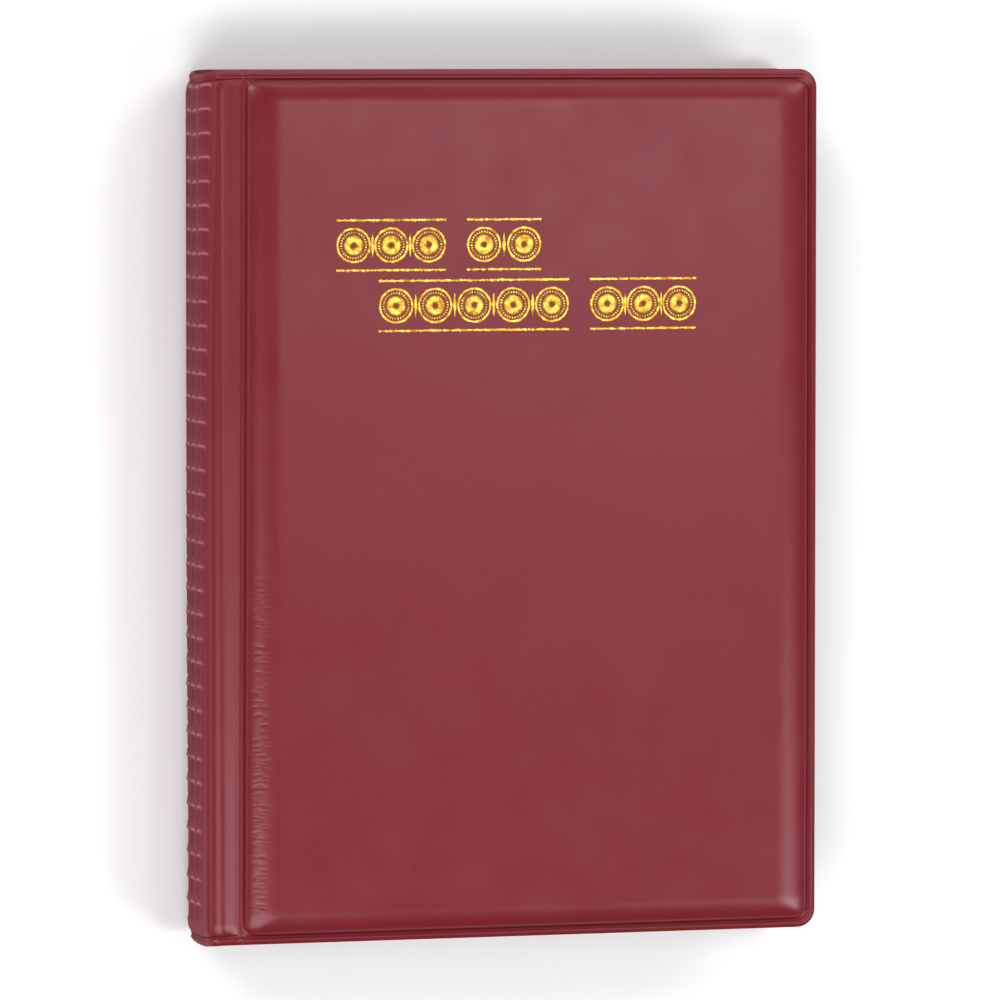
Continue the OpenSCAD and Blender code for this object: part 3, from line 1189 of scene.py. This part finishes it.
@dataclass
class FoilOrnament:
    """Gold foil on the front cover: two staggered lines of plain coins in rows between thin rules."""

    cover: Cover
    rule_w: float = 0.7
    foil_t: float = 0.02
    ragged: float = 0.09
    coin_r: float = 3.7
    reed_count: int = 30
    row_h: float = 11.0
    rows: tuple[CoinRow, ...] = (
        CoinRow(0.0, 0, 23.4, 3),
        CoinRow(27.8, 0, 16.0, 2),
        CoinRow(9.0, 1, 40.8, 5),
        CoinRow(54.3, 1, 23.0, 3),
    )

    def flat(self, x: np.ndarray, y: np.ndarray) -> Faces:
        """Lays a patch of foil on the cover's film.

        Args:
            x: The patch's grid across the cover.
            y: The patch's grid along the cover.

        Returns:
            The points of its upper and lower faces.
        """
        top = self.cover.height(x, y) + self.foil_t
        low = top - 0.6 * self.foil_t
        at = self.cover.at
        return at.lift(Side.FRONT, stack(x, y, top)), at.lift(Side.FRONT, stack(x, y, low))

    def rule(self, x0: float, x1: float, y: float, rng: np.random.Generator) -> Faces:
        """Makes one thin rule with uneven edges.

        Args:
            x0: Where it starts.
            x1: Where it ends.
            y: Its middle line.
            rng: Draws the unevenness.

        Returns:
            The points of its upper and lower faces.
        """
        t = np.linspace(x0, x1, round((x1 - x0) / 0.2))
        kept = np.clip(0.75 + 0.3 * rng.normal(size=t.size), 0.08, 1.0)
        middle = y + 0.4 * self.ragged * rng.normal(size=t.size)
        half = 0.5 * self.rule_w * kept
        return self.flat(np.stack([t, t, t]), np.stack([middle - half, middle, middle + half]))

    def ring(
        self,
        cx: float,
        cy: float,
        r0: float,
        r1: float,
        rng: np.random.Generator,
        arc: tuple[float, float] = (0.0, math.tau),
    ) -> Faces:
        """Makes a ring, or a part of one, with uneven edges.

        Args:
            cx: Its centre across.
            cy: Its centre along.
            r0: Its inner radius.
            r1: Its outer radius.
            rng: Draws the unevenness.
            arc: Where it starts and ends round the centre, in radians.

        Returns:
            The points of its upper and lower faces.
        """
        count = max(4, round((arc[1] - arc[0]) / math.tau * 96))
        a = np.linspace(arc[0], arc[1], count)
        rough = [self.ragged * rng.normal(size=count) * 0.6 for _ in range(2)]
        for wobble in rough:
            wobble[-1] = wobble[0]
        radii = np.stack([r0 + rough[0], (r0 + r1) / 2.0 + 0.0 * a, r1 + rough[1]])
        return self.flat(cx + radii * np.cos(a), cy + radii * np.sin(a))

    def coin(self, cx: float, cy: float, rng: np.random.Generator) -> list[Faces]:
        """Makes one plain coin: a rim, a ring of reeds and a disc with a small open centre.

        Args:
            cx: Its centre across.
            cy: Its centre along.
            rng: Draws the unevenness.

        Returns:
            The upper and lower faces of each of its parts.
        """
        parts = [self.ring(cx, cy, self.coin_r - 0.55, self.coin_r, rng)]
        for k in range(self.reed_count):
            start = k * math.tau / self.reed_count
            parts.append(self.ring(cx, cy, self.coin_r - 1.3, self.coin_r - 0.8, rng, (start, start + 0.1)))
        parts.append(self.ring(cx, cy, 0.5, self.coin_r - 1.6, rng))
        return parts

    def lozenge(self, cx: float, cy: float, rng: np.random.Generator) -> Faces:
        """Makes a small upright lozenge, which stands between two coins.

        Args:
            cx: Its centre across.
            cy: Its centre along.
            rng: Draws the unevenness.

        Returns:
            The points of its upper and lower faces.
        """
        v = np.linspace(-1.0, 1.0, 15)
        half = 0.42 * (1.0 - np.abs(v)) + 0.05
        rough = self.ragged * 0.5 * rng.normal(size=(2, v.size))
        across = np.stack([cx - half + rough[0], cx + 0.0 * v, cx + half + rough[1]])
        return self.flat(across, np.stack([cy + 2.4 * v] * 3))

    def build(self) -> bpy.types.Object:
        """Makes the whole ornament, in the blocks that the CAD foil marks out.

        Returns:
            The piece, marked with its parts' edges.
        """
        rng = np.random.default_rng(12)
        low, high = node_box("cover_foil")
        parts: list[Faces] = []
        for row in self.rows:
            x0 = low.x + row.start
            top = (high.y, low.y + self.row_h)[row.line]
            for y in (top - self.rule_w / 2.0, top - self.row_h + self.rule_w / 2.0):
                parts.append(self.rule(x0, x0 + row.width, y, rng))
            spread = (row.width - 2.0 * self.coin_r) / (row.coins - 1)
            centres = [x0 + self.coin_r + k * spread for k in range(row.coins)]
            for cx in centres:
                parts += self.coin(cx, top - self.row_h / 2.0, rng)
            for a, b in zip(centres, centres[1:]):
                parts.append(self.lozenge((a + b) / 2.0, top - self.row_h / 2.0, rng))
        foil = mesh_object("gold_foil_ornament", parts)
        rims = []
        for upper, _ in parts:
            rim = np.zeros(upper.shape[:2])
            rim[0] = rim[-1] = 1.0
            rims.append(rim)
        mark(foil, "rim", rims)
        return foil

    def dress(self, wardrobe: Wardrobe) -> None:
        """Builds the ornament, gives it its finish and fixes it to the front cover.

        Args:
            wardrobe: The finishes.
        """
        foil = wardrobe.dress(self.build(), Slot.GOLD)
        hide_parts("cover_foil")
        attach(foil, "front_panel")
        LOG.info("%s: %d faces", foil.name, len(foil.data.polygons))


# ---------------------------------------------------------------- pages


@dataclass
class PocketPage:
    """One clear page: a back film, rows of pockets welded to it, and the margin that holds it to the spine."""

    at: AlbumPlaces
    number: int
    columns: int = 3
    rows: int = 4
    seam_w: float = 2.0
    notch_w: float = 15.0
    notch_depth: float = 3.2
    corner_r: float = 3.0
    web_reach: float = 3.0
    pocket_edge: float = 2.4
    rib_pitch: float = 1.7

    @property
    def prefix(self) -> str:
        """The first part of this page's node names."""
        return f"page_{self.number:02d}"

    @property
    def tab(self) -> str:
        """The node name of the tab that binds this page to the spine."""
        return f"page_tab_{self.number:02d}"

    @property
    def fold(self) -> tuple[float, float]:
        """X and Z of this page's fold, from its joint."""
        joint = next(j for j in frame["joints"] if j["name"] == f"{self.prefix}_fold")
        return joint["pos_m"][0] / MM, joint["pos_m"][2] / MM

    @property
    def row_step(self) -> float:
        """Step from one strip of pockets to the next."""
        low, high = self.box("film")
        return (high.y - low.y - 2.0) / self.rows

    @property
    def strip_h(self) -> float:
        """Height of one strip of pockets."""
        low, high = self.box("pockets")
        return high.y - low.y - (self.rows - 1) * self.row_step

    @property
    def pitch(self) -> float:
        """Step from one seam up the page to the next."""
        low, high = self.box("pockets")
        return (high.x - low.x - self.seam_w) / self.columns

    def box(self, part: str) -> tuple[Vector, Vector]:
        """Lowest and highest corner of one of this page's nodes."""
        return node_box(f"{self.prefix}_{part}")

    def build_leaf(self) -> bpy.types.Object:
        """Makes the back film, with round outer corners.

        Returns:
            The piece.
        """
        low, high = self.box("film")
        r = self.corner_r
        x = steps((self.fold[0] + self.web_reach, high.x - r, 4.0), (high.x - r, high.x, 0.5))
        y = steps((low.y, low.y + r, 0.5), (low.y + r, high.y - r, 4.0), (high.y - r, high.y, 0.5))
        gx, gy = np.meshgrid(x, y, indexing="ij")
        gx, gy = round_corners(gx, gy, high.x, high.y, r)
        wave = 0.05 * waves(gx, gy, 60.0, 200 + self.number) * smooth((gx - x[0]) / 8.0)
        solid = (stack(gx, gy, high.z + wave), stack(gx, gy, low.z + wave))
        return mesh_object(f"{self.prefix}_leaf", [solid])

    def pocket_height(self, across: np.ndarray, up: np.ndarray, gap: float) -> np.ndarray:
        """Height of the pocket film above the back film.

        Args:
            across: Way across the strip from its first seam.
            up: Way up the strip from its bottom seam.
            gap: How far the pocket film stands off where a coin goes.

        Returns:
            The height: low on the weld seams and full in the pockets.
        """
        pitch = self.pitch
        from_middle = np.abs(np.mod(across - self.seam_w / 2.0 + pitch / 2.0, pitch) - pitch / 2.0)
        side = rise((from_middle - self.seam_w / 2.0) / 2.2, 1.8)
        bottom = rise((up - self.seam_w) / 2.2, 1.8)
        return gap * (0.04 + 0.96 * side * bottom)

    def build_pockets(self) -> bpy.types.Object:
        """Makes the pocket strips, each with thumb notches along its open top edge.

        Returns:
            The piece.
        """
        low, high = self.box("pockets")
        floor = self.box("film")[1].z
        film = high.z - low.z
        pitch, strip_h, edge = self.pitch, self.strip_h, self.pocket_edge
        runs = []
        for k in range(self.columns + 1):
            seam, inner, after = k * pitch, k * pitch + self.seam_w, k * pitch + pitch
            runs.append((seam, inner, 1.0))
            if k < self.columns:
                runs.append((inner, inner + edge, 0.4))
                runs.append((inner + edge, after - edge, 1.5))
                runs.append((after - edge, after, 0.4))
        across = steps(*runs)
        bottom = self.seam_w
        up = steps((0.0, bottom, 1.0), (bottom, bottom + edge, 0.4), (bottom + edge, strip_h, 3.0))
        ga, gu = np.meshgrid(across, up, indexing="ij")
        centre = np.mod(ga - self.seam_w / 2.0, pitch) - pitch / 2.0
        notch = self.notch_depth * np.sqrt(np.clip(1.0 - (2.0 * centre / self.notch_w) ** 2, 0.0, 1.0))
        height = self.pocket_height(ga, gu, low.z - floor)
        solids = []
        for row in range(self.rows):
            y = low.y + row * self.row_step + gu * (1.0 - notch / strip_h)
            top = floor + height + film
            solids.append((stack(low.x + ga, y, top), stack(low.x + ga, y, top - film)))
        return mesh_object(f"{self.prefix}_pocket_strips", solids)

    def build_welds(self) -> bpy.types.Object:
        """Makes the weld seams: bars pressed with a fine cross rib, up the sides and along the bottoms.

        Returns:
            The piece.
        """
        low, high = self.box("pockets")
        base = self.box("film")[1].z + high.z - low.z + 0.03
        bar = np.array([0.3, self.seam_w - 0.3])
        solids = []
        for row in range(self.rows):
            y0 = low.y + row * self.row_step
            along = np.linspace(y0, y0 + self.strip_h, 92)
            for k in range(self.columns + 1):
                solids.append(self.ribbed(low.x + k * self.pitch + bar, along, base, along_y=True))
            across = np.linspace(low.x + self.seam_w, high.x - self.seam_w, 200)
            solids.append(self.ribbed(across, y0 + bar, base, along_y=False))
        return mesh_object(f"{self.prefix}_welds", solids)

    def ribbed(self, x: np.ndarray, y: np.ndarray, base: float, along_y: bool) -> Faces:
        """Makes one flat bar with fine ribs across it.

        Args:
            x: The bar's grid lines across the page.
            y: The bar's grid lines up the page.
            base: Height of the film that it is pressed into.
            along_y: Whether the bar runs up the page.

        Returns:
            The points of its upper and lower faces.
        """
        gx, gy = np.meshgrid(x, y, indexing="ij")
        rib = 0.03 * (1.0 + np.sin((gy if along_y else gx) * math.tau / self.rib_pitch))
        return stack(gx, gy, base + 0.04 + rib), stack(gx, gy, np.full_like(gx, base))

    def build_margin(self) -> bpy.types.Object:
        """Makes the margin of film between the spine lining and the leaf, a soft S where it leaves the spine.

        Returns:
            The piece.
        """
        low, high = self.box("film")
        tab_low, tab_high = node_box(self.tab)
        fold_x, fold_z = self.fold
        middle = self.at.mid_z
        root_z = tab_low.z if fold_z > middle else tab_high.z
        root_z += math.copysign(0.2, fold_z - middle)
        x = steps(
            (tab_low.x, fold_x - 1.0, 0.25),
            (fold_x - 1.0, fold_x + 1.0, 0.1),
            (fold_x + 1.0, fold_x + self.web_reach, 0.5),
        )
        y = steps((low.y, high.y, 6.0))
        gx, gy = np.meshgrid(x, y, indexing="ij")
        mid = root_z + (fold_z - root_z) * smooth((gx - tab_low.x) / (fold_x - 0.3 - tab_low.x))
        half = (high.z - low.z) / 2.0
        return mesh_object(f"{self.prefix}_margin", [(stack(gx, gy, mid + half), stack(gx, gy, mid - half))])

    def dress(self, wardrobe: Wardrobe) -> None:
        """Builds the page's films and welds, gives them their finish and hangs the leaf, pockets and welds on
        the page's body.

        Args:
            wardrobe: The finishes.
        """
        leaf = wardrobe.dress(self.build_leaf(), Slot.CLEAR)
        pockets = wardrobe.dress(self.build_pockets(), Slot.CLEAR)
        welds = wardrobe.dress(self.build_welds(), Slot.WELD)
        margin = wardrobe.dress(self.build_margin(), Slot.WELD)
        fold_x, fold_z = self.fold
        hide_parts(f"{self.prefix}_film")
        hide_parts(f"{self.prefix}_pockets")
        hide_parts(f"{self.prefix}_seams")
        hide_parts(self.tab)
        for piece in (leaf, pockets, welds):
            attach(piece, self.prefix)
        ends = [((fold_x + k) * MM, 0.0, fold_z * MM) for k in (-0.8, 0.8)]
        self.prefix
        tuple(ends[0])
        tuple(ends[1])
        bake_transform(margin)
        for piece in (leaf, pockets, welds, margin):
            LOG.info("%s: %d faces", piece.name, len(piece.data.polygons))


# ---------------------------------------------------------------- studio


@dataclass(frozen=True)
class SoftLight:
    """One studio softbox, aimed at the album. Place and size in metres, power in watts."""

    name: str
    place: tuple[float, float, float]
    size: tuple[float, float]
    power: float
    aim: tuple[float, float, float] = (0.0, 0.0, 0.0)

    def build(self) -> None:
        """Makes the light."""
        data = bpy.data.lights.new(self.name, "AREA")
        data.shape = "RECTANGLE"
        data.size, data.size_y = self.size
        data.energy = self.power
        light = bpy.data.objects.new(self.name, data)
        light.location = self.place
        light.rotation_euler = (Vector(self.place) - Vector(self.aim)).to_track_quat("Z", "Y").to_euler()
        bpy.context.scene.collection.objects.link(light)


@dataclass(frozen=True)
class Studio:
    """The pale floor, the soft lights and the camera. Lengths are in metres.

    The camera turns by the azimuth towards the spine and by the rise towards the top edge. The field is the
    width that it takes in at its aim.
    """

    azimuth_deg: float = 15.8
    rise_deg: float = 3.5
    distance: float = 1.65
    field: float = 0.2083
    aim: tuple[float, float, float] = (-0.0003, 0.0004, 0.0113)
    floor_half: float = 3.0
    floor_drop: float = 0.0002
    daylight: float = 0.1
    lights: tuple[SoftLight, ...] = (
        SoftLight("key_softbox", (0.33, 0.17, 1.15), (0.4, 0.33), 1.7),
        SoftLight("left_front_softbox", (-0.27, -0.42, 0.75), (0.62, 0.56), 4.4),
        SoftLight("right_front_softbox", (0.68, -0.42, 0.75), (0.45, 0.56), 4.8),
        SoftLight("left_strip", (-1.15, 0.0, 0.5), (1.6, 0.25), 2.8),
        SoftLight("rear_softbox", (0.1, 1.35, 0.6), (1.2, 0.35), 3.4),
        SoftLight("left_rear_softbox", (-0.95, 0.9, 0.8), (0.8, 0.8), 9.5),
        SoftLight("right_rear_softbox", (1.0, 0.9, 0.8), (0.8, 0.8), 8.0),
    )

    def build_camera(self) -> None:
        """Makes the camera: a long lens, square to the album but for a small turn to the spine side."""
        turn, tilt = math.radians(self.azimuth_deg), math.radians(self.rise_deg)
        back = Vector((-math.sin(turn) * math.cos(tilt), math.sin(tilt), math.cos(turn) * math.cos(tilt)))
        right = Vector((0.0, 1.0, 0.0)).cross(back).normalized()
        up = back.cross(right)
        place = Matrix((right, up, back)).transposed().to_4x4()
        place.translation = Vector(self.aim) + back * self.distance
        data = bpy.data.cameras.new("camera")
        data.lens = data.sensor_width * self.distance / self.field
        camera = bpy.data.objects.new("camera", data)
        camera.matrix_world = place
        bpy.context.scene.collection.objects.link(camera)
        bpy.context.scene.camera = camera

    def build_floor(self) -> None:
        """Makes the pale floor that the album lies on."""
        half = self.floor_half
        corners = [(-half, -half, 0.0), (half, -half, 0.0), (half, half, 0.0), (-half, half, 0.0)]
        mesh = bpy.data.meshes.new("floor")
        mesh.from_pydata(corners, [], [(0, 1, 2, 3)])
        material, tree, _ = new_material("pale_floor")
        shader = add_node(tree, "ShaderNodeBsdfPrincipled", {"Base Color": linear("#f4f4f4"), "Roughness": 0.7})
        add_node(tree, "ShaderNodeOutputMaterial", {"Surface": shader.outputs[0]})
        mesh.materials.append(material)
        floor = bpy.data.objects.new("floor", mesh)
        floor.location.z = -self.floor_drop
        bpy.context.scene.collection.objects.link(floor)

    def build(self) -> None:
        """Makes the studio."""
        world = bpy.data.worlds.new("studio")
        world.use_nodes = True
        sky = world.node_tree.nodes["Background"].inputs
        sky["Color"].default_value = linear("#ffffff")
        sky["Strength"].default_value = self.daylight
        scene = bpy.context.scene
        scene.world = world
        scene.view_settings.view_transform = "Standard"
        scene.view_settings.gamma = 0.87
        self.build_floor()
        self.build_camera()
        for light in self.lights:
            light.build()


def main() -> None:
    """Builds the album round its frame, then the studio."""
    logging.basicConfig(level=logging.INFO, format="%(message)s")
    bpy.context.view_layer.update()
    wardrobe = Wardrobe()
    places = AlbumPlaces.read()
    Studio().build()
    covers = {side: Cover(places, side) for side in Side}
    for cover in covers.values():
        cover.dress(wardrobe)
    FoilOrnament(covers[Side.FRONT]).dress(wardrobe)
    for number in range(1, PAGE_COUNT + 1):
        PocketPage(places, number).dress(wardrobe)


if __name__ == "__main__":
    main()
